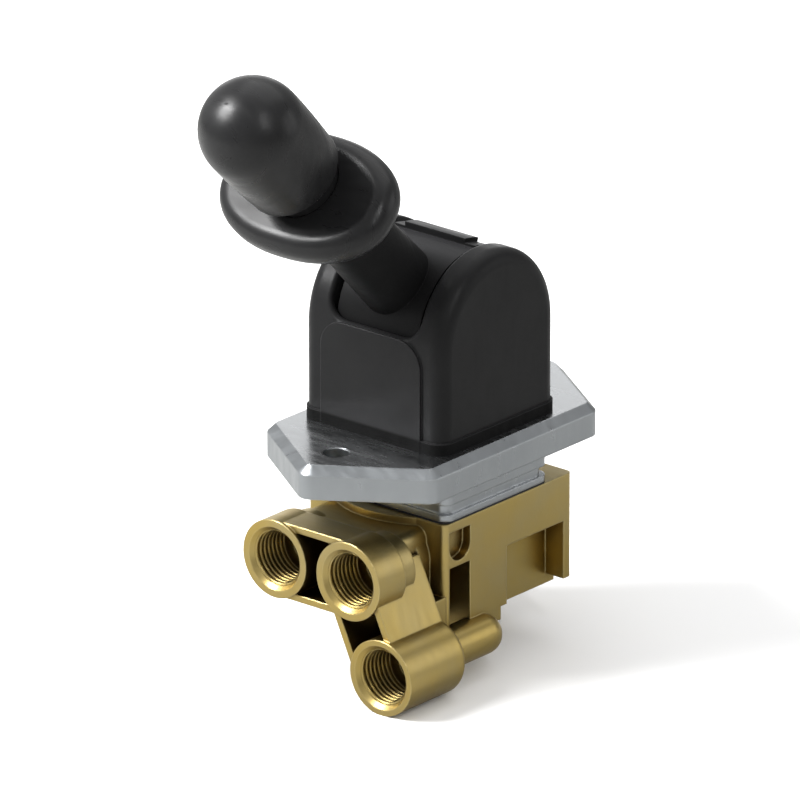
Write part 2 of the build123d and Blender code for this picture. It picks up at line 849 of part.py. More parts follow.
with BuildPart() as poppet:
    with BuildSketch(Plane.XY.offset(poppet_top)):
        Circle(poppet_radius)
    extrude(amount=-poppet_thickness)
    chamfer(poppet.edges(), fine_edge_break)
    with BuildSketch(Plane.XY.offset(poppet_top - poppet_thickness)):
        Circle(poppet_stem_radius)
    extrude(amount=poppet_stem_end - poppet_top + poppet_thickness)
    Hole(exhaust_bore_radius)
save(poppet, "poppet")

ring_floor = body_bottom + ring_height
cap_bottom = ring_floor + ring_thickness
cap_top = cap_bottom + cap_thickness
cap_groove_z = cap_bottom + cap_thickness / 2
cap_guide_radius = poppet_stem_radius + running_clearance
with BuildPart() as bottom_cap:
    with BuildSketch(Plane.XY.offset(cap_bottom)):
        Circle(chamber_radius)
    extrude(amount=cap_thickness)
    chamfer(bottom_cap.edges(), edge_break)
    with BuildSketch(Plane.XY.offset(cap_top)):
        Circle(cap_guide_radius + cap_guide_wall)
    extrude(amount=cap_guide_height)
    with BuildSketch(Plane.XY.offset(cap_bottom + cap_floor)):
        Circle(cap_guide_radius)
    extrude(amount=cap_thickness + cap_guide_height, mode=Mode.SUBTRACT)
    groove(cap_groove_z, chamber_radius - 2 * o_ring_radius, chamber_radius, groove_width)
save(bottom_cap, "bottom_cap")
cap_ring = o_ring(cap_groove_z, chamber_radius)
save(cap_ring, "cap_ring")

with BuildPart() as retaining_ring:
    with BuildSketch(Plane.XY.offset(ring_floor)):
        Circle(chamber_radius + ring_groove_depth)
        Circle(chamber_radius - ring_width, mode=Mode.SUBTRACT)
        with Locations((0, chamber_radius)):
            Rectangle(ring_gap_width, 3 * ring_width, mode=Mode.SUBTRACT)
        for side in (-1, 1):
            with Locations((side * ring_lug_pitch, chamber_radius - ring_lug_inset)):
                Circle(ring_lug_radius)
                Circle(ring_hole_radius, mode=Mode.SUBTRACT)
    extrude(amount=ring_thickness)
save(retaining_ring, "retaining_ring")

valve_spring = spring(
    Plane.XY.offset(cap_top),
    poppet_top - poppet_thickness - cap_top,
    valve_coil_radius,
    valve_wire,
    valve_turns,
)
save(valve_spring, "valve_spring")

# ================================================================ valve body
web_height = boss_radius - web_edge - web_thickness / 2
upper_web = port_row_z + web_height
lower_web = port_row_z - web_height
upper_ports = ((-port_pitch / 2, port_row_z), (port_pitch / 2, port_row_z))
port_places = (*upper_ports, (low_port_x, low_port_z))
body_height = body_top - body_bottom


def slab(x, y, z, mode=Mode.ADD):
    """Box from three (low, high) pairs, added to the part being built."""
    with BuildSketch(Plane.XY.offset(z[0])) as footprint:
        with Locations(((x[0] + x[1]) / 2, (y[0] + y[1]) / 2)):
            Rectangle(x[1] - x[0], y[1] - y[0])
    extrude(footprint.sketch, amount=z[1] - z[0], mode=mode)


with BuildPart() as valve_body:
    with BuildSketch(Plane.XY.offset(body_bottom)):
        with Locations((0, (body_back - body_front) / 2)):
            RectangleRounded(2 * body_half_width, body_back + body_front, body_corner_radius)
        with BuildSketch():
            Circle(barrel_radius)
            Rectangle(2 * body_half_width, 3 * barrel_radius, mode=Mode.INTERSECT)
    extrude(amount=body_height)
    # foot that carries the low boss
    slab(
        (low_port_x - foot_width, body_half_width),
        (-body_front, pillar_back),
        (pillar_bottom, body_bottom),
    )
    # plate and port block in front
    with BuildSketch(facing_front(-body_front + seam_overlap, z=(plate_top + plate_bottom) / 2)):
        RectangleRounded(2 * plate_half_width, plate_top - plate_bottom, plate_corner_radius)
    extrude(amount=plate_front - body_front + seam_overlap)
    with BuildSketch(facing_front(-body_front, z=(plate_top + block_bottom) / 2)):
        RectangleRounded(2 * block_half_width, plate_top - block_bottom, block_corner_radius)
    extrude(amount=block_front - body_front)
    slab(
        (low_port_x - low_boss_radius, body_half_width),
        (-low_boss_back - low_boss_reach, -body_front + seam_overlap),
        (pillar_bottom, plate_bottom + low_boss_seat),
    )
    # screw channels, open below, the front pair open to the side as well
    channel_height = screw_ledge_z - pillar_bottom + 1
    with BuildSketch(Plane.XY.offset(screw_ledge_z)):
        with Locations(*screw_places):
            Circle(screw_channel_radius)
    extrude(amount=-channel_height, mode=Mode.SUBTRACT)
    with BuildSketch(Plane.XY.offset(body_top)):
        with Locations(*screw_places):
            Circle(screw_radius + seat_gap)
    extrude(amount=-body_height, mode=Mode.SUBTRACT)
    for side in (-1, 1):
        outside = sorted((side * front_screw[0], side * (body_half_width + 1)))
        slab(
            outside,
            (front_screw[1] - screw_channel_radius, front_screw[1] + screw_channel_radius),
            (screw_ledge_z - channel_height, screw_ledge_z),
            Mode.SUBTRACT,
        )
        # rounded window over the ledge
        side_face = Plane(
            origin=(side * body_half_width, front_screw[1], window_z),
            x_dir=(0, 1, 0),
            z_dir=(1, 0, 0),
        )
        with BuildSketch(side_face):
            Circle(window_radius)
            Rectangle(2 * window_radius, window_radius, align=(Align.CENTER, Align.MIN))
        extrude(amount=-side * window_depth, mode=Mode.SUBTRACT)
        # rear pocket with two cored corners
        inner_x = side * (body_half_width - pocket_depth)
        slab(
            sorted((inner_x, side * (body_half_width + 1))),
            (pocket_front, pocket_back),
            (body_bottom - 1, pocket_top),
            Mode.SUBTRACT,
        )
        slab(
            sorted((inner_x, inner_x - side * skirt_width)),
            (pocket_front, body_back),
            (body_bottom - skirt_drop, body_bottom),
        )
        for y in (pocket_front, pocket_back - core_size):
            slab(
                sorted((inner_x, inner_x - side * core_depth)),
                (y, y + core_size),
                (pocket_top - core_size, pocket_top),
                Mode.SUBTRACT,
            )
    # three port bosses and the webs that tie them together
    for x, z in upper_ports:
        with BuildSketch(facing_front(-boss_root_back, x, z)):
            Circle(boss_root_radius)
        extrude(amount=port_face - boss_root_back)
        with BuildSketch(facing_front(-block_front + seam_overlap, x, z)):
            Circle(boss_radius)
        extrude(amount=port_face - block_front + seam_overlap)
    low_axis = Plane(origin=(low_port_x, 0, low_port_z), x_dir=(0, 0, 1), z_dir=(-1, 0, 0))
    with BuildSketch(low_axis):
        with BuildLine():
            Polyline(
                (0, -rib_back),
                (0, -port_face),
                (low_boss_radius, -port_face),
                (low_boss_radius, -low_boss_back - low_boss_round),
            )
            RadiusArc(
                (low_boss_radius, -low_boss_back - low_boss_round),
                (low_boss_radius - low_boss_round, -low_boss_back),
                -low_boss_round,
            )
            Polyline(
                (low_boss_radius - low_boss_round, -low_boss_back),
                (rib_radius, -low_boss_back),
                (rib_radius, -rib_back - rib_radius),
            )
            RadiusArc((rib_radius, -rib_back - rib_radius), (0, -rib_back), -rib_radius)
        make_face()
    revolve(axis=Axis((low_port_x, 0, low_port_z), (0, 1, 0)))
    for z in (upper_web, lower_web):
        slab(
            (-port_pitch / 2, port_pitch / 2),
            (-port_face + web_setback, -block_front + seam_overlap),
            (z - web_thickness / 2, z + web_thickness / 2),
        )
    drop = (low_port_x - port_pitch / 2, low_port_z - port_row_z)
    link = sqrt(drop[0] ** 2 + drop[1] ** 2)
    link_plane = Plane(
        origin=(port_pitch / 2 + drop[0] / 2, -port_face + web_setback, port_row_z + drop[1] / 2),
        x_dir=(drop[0], 0, drop[1]),
        z_dir=(0, 1, 0),
    )
    with BuildSketch(link_plane):
        for offset_y in (-inner_link_offset, outer_link_offset):
            with Locations((0, offset_y)):
                Rectangle(link, web_thickness)
    extrude(amount=port_face - web_setback - plate_front)
    # ports: tapped bore, lip, passage
    for x, z in port_places:
        with BuildSketch(facing_front(-port_face, x, z)):
            Circle(port_bore_radius)
        extrude(amount=-port_depth, mode=Mode.SUBTRACT)
        with BuildSketch(facing_front(-port_face, x, z)):
            Circle(passage_radius)
        extrude(amount=-port_depth - passage_length, mode=Mode.SUBTRACT)
    chamfer(
        valve_body.edges().filter_by(GeomType.CIRCLE).filter_by(
            lambda e: abs(e.radius - port_bore_radius) < 0.01 and abs(e.center().Y + port_face) < 0.01
        ),
        port_lip_radius - port_bore_radius,
    )
    # bores on the valve axis
    for top, bottom, radius in (
        (body_top, piston_bore_floor, piston_radius),
        (piston_bore_floor, seat_web_bottom, seat_radius + seat_ring_wall),
        (seat_web_bottom, body_bottom, chamber_radius),
        (ring_floor + ring_thickness, ring_floor, chamber_radius + ring_groove_depth),
    ):
        with BuildSketch(Plane.XY.offset(top)):
            Circle(radius)
        extrude(amount=bottom - top, mode=Mode.SUBTRACT)
save(valve_body, "valve_body")

# ================================================================ gasket and body screws
with BuildPart() as body_gasket:
    with BuildSketch(Plane.XY.offset(body_top)):
        RectangleRounded(neck_width, neck_depth, neck_corner_radius)
        Circle(piston_radius + seam_overlap, mode=Mode.SUBTRACT)
        with Locations(*screw_places):
            Circle(screw_radius + seat_gap, mode=Mode.SUBTRACT)
    extrude(amount=gasket_thickness)
save(body_gasket, "body_gasket")

for number, place in enumerate(screw_places, start=1):
    with BuildPart() as body_screw:
        with BuildSketch(Plane.XY.offset(screw_ledge_z)):
            with Locations(place):
                Circle(screw_head_radius)
        extrude(amount=-screw_head_height)
        chamfer(body_screw.faces().sort_by(Axis.Z)[0].edges(), edge_break)
        with BuildSketch(Plane.XY.offset(screw_ledge_z)):
            with Locations(place):
                Circle(screw_radius)
        extrude(amount=screw_length)
        with BuildSketch(Plane.XY.offset(screw_ledge_z - screw_head_height)):
            with Locations(place):
                RegularPolygon(screw_socket_radius, 6)
        extrude(amount=screw_socket_depth, mode=Mode.SUBTRACT)
    save(body_screw, f"body_screw_{number}")
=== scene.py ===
"""Lever-operated pilot pressure valve: finishes, port threads, springs, studio and camera."""
import json
from math import cos, pi, radians, sin

import bmesh
import bpy
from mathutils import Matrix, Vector


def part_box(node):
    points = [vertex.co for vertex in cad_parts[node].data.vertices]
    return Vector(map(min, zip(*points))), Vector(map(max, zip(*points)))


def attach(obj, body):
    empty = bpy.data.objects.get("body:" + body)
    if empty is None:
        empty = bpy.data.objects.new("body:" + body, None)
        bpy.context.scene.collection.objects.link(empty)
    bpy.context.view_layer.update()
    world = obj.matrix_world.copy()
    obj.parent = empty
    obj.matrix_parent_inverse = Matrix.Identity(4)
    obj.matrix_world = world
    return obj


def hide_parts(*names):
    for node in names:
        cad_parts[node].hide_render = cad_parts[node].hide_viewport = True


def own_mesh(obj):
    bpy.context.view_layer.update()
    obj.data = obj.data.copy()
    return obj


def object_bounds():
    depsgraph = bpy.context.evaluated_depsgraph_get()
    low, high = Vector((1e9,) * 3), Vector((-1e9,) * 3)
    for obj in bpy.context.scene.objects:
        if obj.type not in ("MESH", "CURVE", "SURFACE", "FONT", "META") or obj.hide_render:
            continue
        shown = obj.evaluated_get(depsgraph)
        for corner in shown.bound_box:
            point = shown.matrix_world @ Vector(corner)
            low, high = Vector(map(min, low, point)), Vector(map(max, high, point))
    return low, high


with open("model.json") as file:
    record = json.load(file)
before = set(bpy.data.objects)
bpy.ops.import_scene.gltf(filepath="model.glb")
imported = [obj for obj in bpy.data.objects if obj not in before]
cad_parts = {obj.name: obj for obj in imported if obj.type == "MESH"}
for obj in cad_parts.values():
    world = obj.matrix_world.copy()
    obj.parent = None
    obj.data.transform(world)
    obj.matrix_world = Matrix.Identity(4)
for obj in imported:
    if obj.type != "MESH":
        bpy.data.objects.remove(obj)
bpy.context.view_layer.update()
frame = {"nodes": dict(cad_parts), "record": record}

MM = 0.001

# ------------------------------------------------------------------ node helpers


def feed(tree, socket, value):
    """Link another node's output to an input, or set the input to a plain value."""
    if isinstance(value, bpy.types.NodeSocket):
        tree.links.new(value, socket)
    else:
        socket.default_value = value


def add(tree, kind, inputs=None, **settings):
    """A node with its settings, and its inputs fed by name or number."""
    made = tree.nodes.new(kind)
    for name, value in settings.items():
        setattr(made, name, value)
    for key, value in (inputs or {}).items():
        feed(tree, made.inputs[key], value)
    return made


def opaque(colour):
    """A plain colour with full alpha; a socket stays as it is."""
    if isinstance(colour, bpy.types.NodeSocket):
        return colour
    return (*colour, 1.0)


def blend_colour(tree, factor, first, second):
    """Mix of two colours. A Mix node's sockets go by number, because their names repeat."""
    ends = {0: factor, 6: opaque(first), 7: opaque(second)}
    return add(tree, "ShaderNodeMix", ends, data_type="RGBA").outputs[2]


def blend_value(tree, factor, first, second):
    """Mix of two values."""
    ends = {0: factor, 2: first, 3: second}
    return add(tree, "ShaderNodeMix", ends, data_type="FLOAT").outputs[0]


def spread(tree, value, low, high, to_low=0.0, to_high=1.0):
    """A value's range from low to high, spread over another range and held inside it."""
    ranges = {
        "Value": value,
        "From Min": low,
        "From Max": high,
        "To Min": to_low,
        "To Max": to_high,
    }
    return add(tree, "ShaderNodeMapRange", ranges, clamp=True).outputs["Result"]


def math_node(tree, operation, first, second):
    """Sum, product or other operation on two values."""
    return add(tree, "ShaderNodeMath", {0: first, 1: second}, operation=operation).outputs[0]


def vector_value(tree, operation, *vectors):
    """The single value that an operation on vectors gives, such as a length."""
    made = add(tree, "ShaderNodeVectorMath", dict(enumerate(vectors)), operation=operation)
    return made.outputs["Value"]


def height_part(tree, vector):
    """The upright component of a vector."""
    return add(tree, "ShaderNodeSeparateXYZ", {0: vector}).outputs["Z"]


def group(name, kind, inputs, outputs):
    """An empty node group with named sockets, and its two end nodes."""
    tree = bpy.data.node_groups.new(name, kind)
    for label, socket_type, value in inputs:
        socket = tree.interface.new_socket(label, in_out="INPUT", socket_type=socket_type)
        if value is not None:
            socket.default_value = value
    for label, socket_type in outputs:
        tree.interface.new_socket(label, in_out="OUTPUT", socket_type=socket_type)
    return tree, tree.nodes.new("NodeGroupInput"), tree.nodes.new("NodeGroupOutput")


def placed(tree, made_group, **inputs):
    """A node that uses a shared group; an input's name has _ for a space."""
    made = tree.nodes.new("ShaderNodeGroup")
    made.node_tree = made_group
    for name, value in inputs.items():
        feed(tree, made.inputs[name.replace("_", " ")], value)
    return made


# ------------------------------------------------------------------ shared effects


def edge_finder():
    """Rounds the shading of sharp edges and marks where they are."""
    tree, given, out = group(
        "edge_finder",
        "ShaderNodeTree",
        [("Radius", "NodeSocketFloat", 0.4 * MM)],
        [("Mask", "NodeSocketFloat"), ("Normal", "NodeSocketVector")],
    )
    flat_face, clear_edge = 0.985, 0.80
    rounded = add(tree, "ShaderNodeBevel", {"Radius": given.outputs["Radius"]}, samples=4)
    true_normal = add(tree, "ShaderNodeNewGeometry").outputs["Normal"]
    agreement = vector_value(tree, "DOT_PRODUCT", rounded.outputs[0], true_normal)
    mask = spread(tree, agreement, flat_face, clear_edge)
    tree.links.new(mask, out.inputs["Mask"])
    tree.links.new(rounded.outputs[0], out.inputs["Normal"])
    return tree


def cast_skin():
    """Mottled tone and a fine grain for the skin of a casting or moulding."""
    tree, given, out = group(
        "cast_skin",
        "ShaderNodeTree",
        [
            ("Vector", "NodeSocketVector", None),
            ("Patch Scale", "NodeSocketFloat", 60.0),
            ("Grain Scale", "NodeSocketFloat", 2500.0),
        ],
        [("Tone", "NodeSocketFloat"), ("Grain", "NodeSocketFloat")],
    )
    first_tone_below, second_tone_above = 0.32, 0.68
    patches = add(
        tree,
        "ShaderNodeTexNoise",
        {
            "Vector": given.outputs["Vector"],
            "Scale": given.outputs["Patch Scale"],
            "Detail": 4.0,
            "Roughness": 0.55,
        },
    )
    grain = add(
        tree,
        "ShaderNodeTexNoise",
        {
            "Vector": given.outputs["Vector"],
            "Scale": given.outputs["Grain Scale"],
            "Detail": 2.0,
            "Roughness": 0.6,
        },
    )
    tone = spread(tree, patches.outputs[0], first_tone_below, second_tone_above)
    tree.links.new(tone, out.inputs["Tone"])
    tree.links.new(grain.outputs[0], out.inputs["Grain"])
    return tree


def handling_marks():
    """Long faint wipe marks, as a value round a half."""
    tree, given, out = group(
        "handling_marks",
        "ShaderNodeTree",
        [("Vector", "NodeSocketVector", None), ("Scale", "NodeSocketFloat", 90.0)],
        [("Marks", "NodeSocketFloat")],
    )
    faintest, strongest = 0.3, 0.7
    stretched = add(
        tree,
        "ShaderNodeMapping",
        {"Vector": given.outputs["Vector"], "Rotation": (0.3, 0.9, 0.5), "Scale": (1.0, 6.0, 1.4)},
    )
    streaks = add(
        tree,
        "ShaderNodeTexNoise",
        {"Vector": stretched.outputs[0], "Scale": given.outputs["Scale"], "Detail": 5.0},
    )
    wipes = spread(tree, streaks.outputs[0], faintest, strongest)
    tree.links.new(wipes, out.inputs["Marks"])
    return tree


def recess_shade_finder():
    """Marks deep corners and pockets, where shade falls, for a painted shade there."""
    tree, given, out = group(
        "recess_shade_finder",
        "ShaderNodeTree",
        [("Reach", "NodeSocketFloat", 9 * MM)],
        [("Mask", "NodeSocketFloat")],
    )
    open_face, deep_corner = 0.80, 0.30
    shelter = add(
        tree,
        "ShaderNodeAmbientOcclusion",
        {"Distance": given.outputs["Reach"]},
        samples=6,
        only_local=True,
    )
    mask = spread(tree, shelter.outputs["AO"], open_face, deep_corner)
    tree.links.new(mask, out.inputs["Mask"])
    return tree


edges = edge_finder()
skin = cast_skin()
marks = handling_marks()
recess_shade_group = recess_shade_finder()

# ------------------------------------------------------------------ finishes


def lighter_upright_faces(tree, place, wipes, tone, rough, colour, upright_from, roughness):
    """Another colour and roughness on the faces that look up; a lighter colour there paints light
    onto the tops.
    """
    fully_upright = 0.98
    smoothest, roughest = 0.75 * roughness, 1.3 * roughness
    upright = height_part(tree, place.outputs["Normal"])
    level = spread(tree, upright, upright_from, fully_upright)
    level_rough = spread(tree, wipes, 0.0, 1.0, smoothest, roughest)
    return (
        blend_colour(tree, level, tone, colour),
        blend_value(tree, level, rough, level_rough),
    )


def shaded_rough_foot(tree, where, tone, rough, top, colour):
    """Painted shade below a height: a darker colour there, and a rougher surface."""
    transition = 0.8 * MM
    added_roughness = 0.35
    foot_shade = spread(tree, height_part(tree, where), top, top - transition)
    return (
        blend_colour(tree, foot_shade, tone, colour),
        math_node(tree, "ADD", rough, math_node(tree, "MULTIPLY", foot_shade, added_roughness)),
    )


def paint_recess_shade(tree, tone, colour, amount):
    """Painted shade: a darker colour in deep corners and pockets."""
    sheltered = placed(tree, recess_shade_group)
    depth = math_node(tree, "MULTIPLY", sheltered.outputs["Mask"], amount)
    return blend_colour(tree, depth, tone, colour)


def finish(
    name,
    colour,
    second_colour,
    metallic,
    roughness,
    edge_wear_highlight_colour,
    edge_amount,
    edge_radius=0.4 * MM,
    patch_scale=60.0,
    grain_scale=2500.0,
    grain_depth=0.01 * MM,
    roughness_swing=0.08,
    specular=0.5,
    level=None,
    foot_shade=None,
    recess=None,
):
    """One material: two tones in patches, fine grain, wipe marks, and lighter edges that are
    partly wear and partly a painted highlight.

    The last three arguments hold the settings for lighter faces that look up, partly painted
    light; a darker, rougher foot, painted shade; and painted shade in deep corners and pockets.
    """
    material = bpy.data.materials.new(name)
    material.use_nodes = True
    tree = material.node_tree
    tree.nodes.clear()
    place = tree.nodes.new("ShaderNodeTexCoord")
    where = place.outputs["Object"]
    texture = placed(tree, skin, Vector=where, Patch_Scale=patch_scale, Grain_Scale=grain_scale)
    wipes = placed(tree, marks, Vector=where).outputs["Marks"]
    edge = placed(tree, edges, Radius=edge_radius)
    tone = blend_colour(tree, texture.outputs["Tone"], colour, second_colour)
    smoothest, roughest = roughness - roughness_swing, roughness + roughness_swing
    rough = spread(tree, wipes, 0.0, 1.0, smoothest, roughest)
    if level:
        tone, rough = lighter_upright_faces(tree, place, wipes, tone, rough, **level)
    if foot_shade:
        tone, rough = shaded_rough_foot(tree, where, tone, rough, **foot_shade)
    if recess:
        tone = paint_recess_shade(tree, tone, **recess)
    # Sharp edges take a lighter colour: partly wear, partly a painted highlight.
    edge_wear_and_highlight = math_node(tree, "MULTIPLY", edge.outputs["Mask"], edge_amount)
    tone = blend_colour(tree, edge_wear_and_highlight, tone, edge_wear_highlight_colour)
    bump = add(
        tree,
        "ShaderNodeBump",
        {
            "Strength": 1.0,
            "Distance": grain_depth,
            "Height": texture.outputs["Grain"],
            "Normal": edge.outputs["Normal"],
        },
    )
    shader = add(
        tree,
        "ShaderNodeBsdfPrincipled",
        {
            "Base Color": tone,
            "Metallic": metallic,
            "Roughness": rough,
            "Specular IOR Level": specular,
            "Normal": bump.outputs[0],
        },
    )
    add(tree, "ShaderNodeOutputMaterial", {"Surface": shader.outputs[0]})
    return material


finishes = {
    "chromated_casting": finish(
        "yellow_chromate_casting",
        (0.36, 0.285, 0.125),
        (0.40, 0.29, 0.085),
        metallic=1.0,
        roughness=0.36,
        edge_wear_highlight_colour=(0.60, 0.50, 0.25),
        edge_amount=0.55,
        edge_radius=0.6 * MM,
        patch_scale=45.0,
        grain_scale=1800.0,
        grain_depth=0.02 * MM,
        roughness_swing=0.04,
        # painted shade: dark brown in the casting's pockets and deep corners
        recess={"colour": (0.07, 0.035, 0.004), "amount": 0.95},
    ),
    "flange_casting": finish(
        "grey_flange_casting",
        (0.31, 0.325, 0.337),
        (0.285, 0.30, 0.312),
        metallic=1.0,
        roughness=0.34,
        edge_wear_highlight_colour=(0.62, 0.64, 0.66),
        edge_amount=0.5,
        edge_radius=0.6 * MM,
        grain_scale=2200.0,
        grain_depth=0.012 * MM,
        # machined top face, smoother than the cast sides; its lighter colour is partly painted
        # light on the faces that look up
        level={"colour": (0.57, 0.586, 0.60), "upright_from": 0.80, "roughness": 0.24},
    ),
    "black_cover": finish(
        "black_grained_cover",
        (0.0135, 0.0135, 0.0139),
        (0.0112, 0.0112, 0.0116),
        metallic=0.0,
        roughness=0.36,
        edge_wear_highlight_colour=(0.05, 0.05, 0.052),
        edge_amount=0.5,
        edge_radius=0.5 * MM,
        grain_scale=3800.0,
        grain_depth=0.012 * MM,
        specular=0.09,
        # painted shade and reflection: the cover darker below 12.2 mm, next to the flange; the
        # foot is also rougher
        foot_shade={"top": 12.2 * MM, "colour": (0.003, 0.003, 0.003)},
    ),
    "black_lever": finish(
        "black_smooth_lever",
        (0.010, 0.010, 0.0105),
        (0.013, 0.013, 0.0135),
        metallic=0.0,
        roughness=0.32,
        edge_wear_highlight_colour=(0.03, 0.03, 0.031),
        edge_amount=0.4,
        grain_scale=3000.0,
        grain_depth=0.006 * MM,
        specular=0.24,
        # painted shade: near black in the lever's deep corners, such as round the collar
        recess={"colour": (0.003, 0.003, 0.003), "amount": 0.6},
    ),
    "drum": finish(
        "black_drum",
        (0.006, 0.006, 0.0062),
        (0.008, 0.008, 0.0082),
        metallic=0.0,
        roughness=0.45,
        edge_wear_highlight_colour=(0.03, 0.03, 0.031),
        edge_amount=0.3,
        specular=0.06,
        # painted light: the drum's faces that look up are made four times lighter, where overhead
        # light falls
        level={"colour": (0.024, 0.024, 0.025), "upright_from": 0.86, "roughness": 0.35},
    ),
    "steel_bright": finish(
        "ground_steel",
        (0.60, 0.60, 0.60),
        (0.54, 0.54, 0.55),
        metallic=1.0,
        roughness=0.2,
        edge_wear_highlight_colour=(0.75, 0.75, 0.75),
        edge_amount=0.4,
        edge_radius=0.2 * MM,
    ),
    "steel_plated": finish(
        "zinc_plated_steel",
        (0.55, 0.56, 0.58),
        (0.47, 0.48, 0.50),
        metallic=1.0,
        roughness=0.3,
        edge_wear_highlight_colour=(0.70, 0.71, 0.72),
        edge_amount=0.5,
        edge_radius=0.2 * MM,
        patch_scale=300.0,
    ),
    "spring_steel": finish(
        "oiled_spring_steel",
        (0.22, 0.22, 0.23),
        (0.17, 0.17, 0.18),
        metallic=1.0,
        roughness=0.32,
        edge_wear_highlight_colour=(0.40, 0.40, 0.41),
        edge_amount=0.2,
        edge_radius=0.1 * MM,
        patch_scale=200.0,
    ),
    "bronze": finish(
        "bearing_bronze",
        (0.42, 0.26, 0.11),
        (0.36, 0.21, 0.09),
        metallic=1.0,
        roughness=0.35,
        edge_wear_highlight_colour=(0.55, 0.37, 0.18),
        edge_amount=0.4,
        edge_radius=0.2 * MM,
    ),
    "rubber_seal": finish(
        "nitrile_rubber",
        (0.020, 0.020, 0.021),
        (0.028, 0.028, 0.028),
        metallic=0.0,
        roughness=0.62,
        edge_wear_highlight_colour=(0.04, 0.04, 0.04),
        edge_amount=0.3,
        edge_radius=0.1 * MM,
        specular=0.3,
    ),
    "machined_aluminium": finish(
        "turned_aluminium",
        (0.66, 0.67, 0.68),
        (0.60, 0.61, 0.62),
        metallic=1.0,
        roughness=0.27,
        edge_wear_highlight_colour=(0.80, 0.80, 0.81),
        edge_amount=0.4,
        edge_radius=0.2 * MM,
    ),
}
own_finish = {"lever_drum": "drum"}
for name, node in frame["nodes"].items():
    for slot in node.material_slots:
        slot.material = finishes[own_finish.get(name, slot.material.name.split(".")[0])]

# ------------------------------------------------------------------ threaded ports


def thread_tree(material):
    """Helical ridge of diamond section, half of it sunk in the bore's wall, at each port."""
    tree, given, out = group(
        "port_threads",
        "GeometryNodeTree",
        [
            ("Ports", "NodeSocketGeometry", None),
            ("Bore Radius", "NodeSocketFloat", 7.25 * MM),
            ("Ridge Height", "NodeSocketFloat", 0.62 * MM),
            ("Pitch", "NodeSocketFloat", 1.5 * MM),
            ("Turns", "NodeSocketFloat", 7.0),
            ("Run Out", "NodeSocketFloat", 0.06),
        ],
        [("Geometry", "NodeSocketGeometry")],
    )
    tree.is_modifier = True
    steps_per_turn = 48
    corners = 4
    thinnest = 0.02
    along_minus_y = (pi / 2, 0.0, 0.0)
    helix = add(
        tree,
        "GeometryNodeCurveSpiral",
        {
            "Resolution": steps_per_turn,
            "Rotations": given.outputs["Turns"],
            "Start Radius": given.outputs["Bore Radius"],
            "End Radius": given.outputs["Bore Radius"],
            "Height": math_node(tree, "MULTIPLY", given.outputs["Pitch"], given.outputs["Turns"]),
        },
    )
    along = add(tree, "GeometryNodeSplineParameter").outputs["Factor"]
    from_end = math_node(tree, "MINIMUM", along, math_node(tree, "SUBTRACT", 1.0, along))
    fullness = spread(tree, from_end, 0.0, given.outputs["Run Out"], thinnest, 1.0)
    upright = add(tree, "GeometryNodeSetCurveNormal", {"Curve": helix.outputs[0]}, mode="Z_UP")
    section = add(
        tree,
        "GeometryNodeCurvePrimitiveCircle",
        {"Resolution": corners, "Radius": given.outputs["Ridge Height"]},
    )
    swept = add(
        tree,
        "GeometryNodeCurveToMesh",
        {
            "Curve": upright.outputs[0],
            "Profile Curve": section.outputs[0],
            "Scale": fullness,
            "Fill Caps": True,
        },
    )
    copies = add(
        tree,
        "GeometryNodeInstanceOnPoints",
        {
            "Points": given.outputs["Ports"],
            "Instance": swept.outputs[0],
            "Rotation": along_minus_y,
        },
    )
    realized = add(tree, "GeometryNodeRealizeInstances", {"Geometry": copies.outputs[0]})
    coloured = add(
        tree,
        "GeometryNodeSetMaterial",
        {"Geometry": realized.outputs[0], "Material": material},
    )
    tree.links.new(coloured.outputs[0], out.inputs["Geometry"])
    return tree


def new_object(name, data):
    """An object in the scene's own collection."""
    made = bpy.data.objects.new(name, data)
    bpy.context.scene.collection.objects.link(made)
    return made


def outward(mesh):
    """Turn every face of a closed mesh outward."""
    turned = bmesh.new()
    turned.from_mesh(mesh)
    bmesh.ops.recalc_face_normals(turned, faces=turned.faces)
    turned.to_mesh(mesh)
    turned.free()


def threads_in_ports():
    """Thread ridges in the three ports, as one mesh on the housing."""
    pitch = 1.5 * MM
    lead_in = 1.1 * MM
    threaded_length = 10.2 * MM
    deep_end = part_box("valve_body")[0].y + lead_in + threaded_length
    starts = [
        (mount["pos_m"][0], deep_end, mount["pos_m"][2])
        for mount in frame["record"]["mounts"]
        if mount["name"].startswith("port_")
    ]
    points = bpy.data.meshes.new("thread_starts")
    points.from_pydata(starts, [], [])
    threads = new_object("port_threads", points)
    modifier = threads.modifiers.new("threads", "NODES")
    modifier.node_group = thread_tree(finishes["chromated_casting"])
    values = {"Pitch": pitch, "Turns": threaded_length / pitch}
    for item in modifier.node_group.interface.items_tree:
        if item.in_out == "INPUT" and item.name in values:
            modifier[item.identifier] = values[item.name]
    depsgraph = bpy.context.evaluated_depsgraph_get()
    swept = bpy.data.meshes.new_from_object(threads.evaluated_get(depsgraph))
    threads.modifiers.clear()
    threads.data = swept
    outward(swept)
    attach(threads, "housing")


threads_in_ports()

# ------------------------------------------------------------------ springs on their seats


def coil(node, body):
    """The coil of a spring as a mesh of its own, which rides another body."""
    source = frame["nodes"][node]
    mesh = source.data.copy()
    mesh.transform(source.matrix_world)
    mesh.materials.clear()
    mesh.materials.append(finishes["spring_steel"])
    made = new_object(node + "_coil", mesh)
    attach(made, body)
    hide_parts(node)
    return made


def collar_coil():
    """The collar's spring as a coil with a mesh of its own, riding the lever."""
    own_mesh(coil("collar_spring", "lever"))


coil("main_spring", "piston")
collar_coil()

# ------------------------------------------------------------------ floor and world


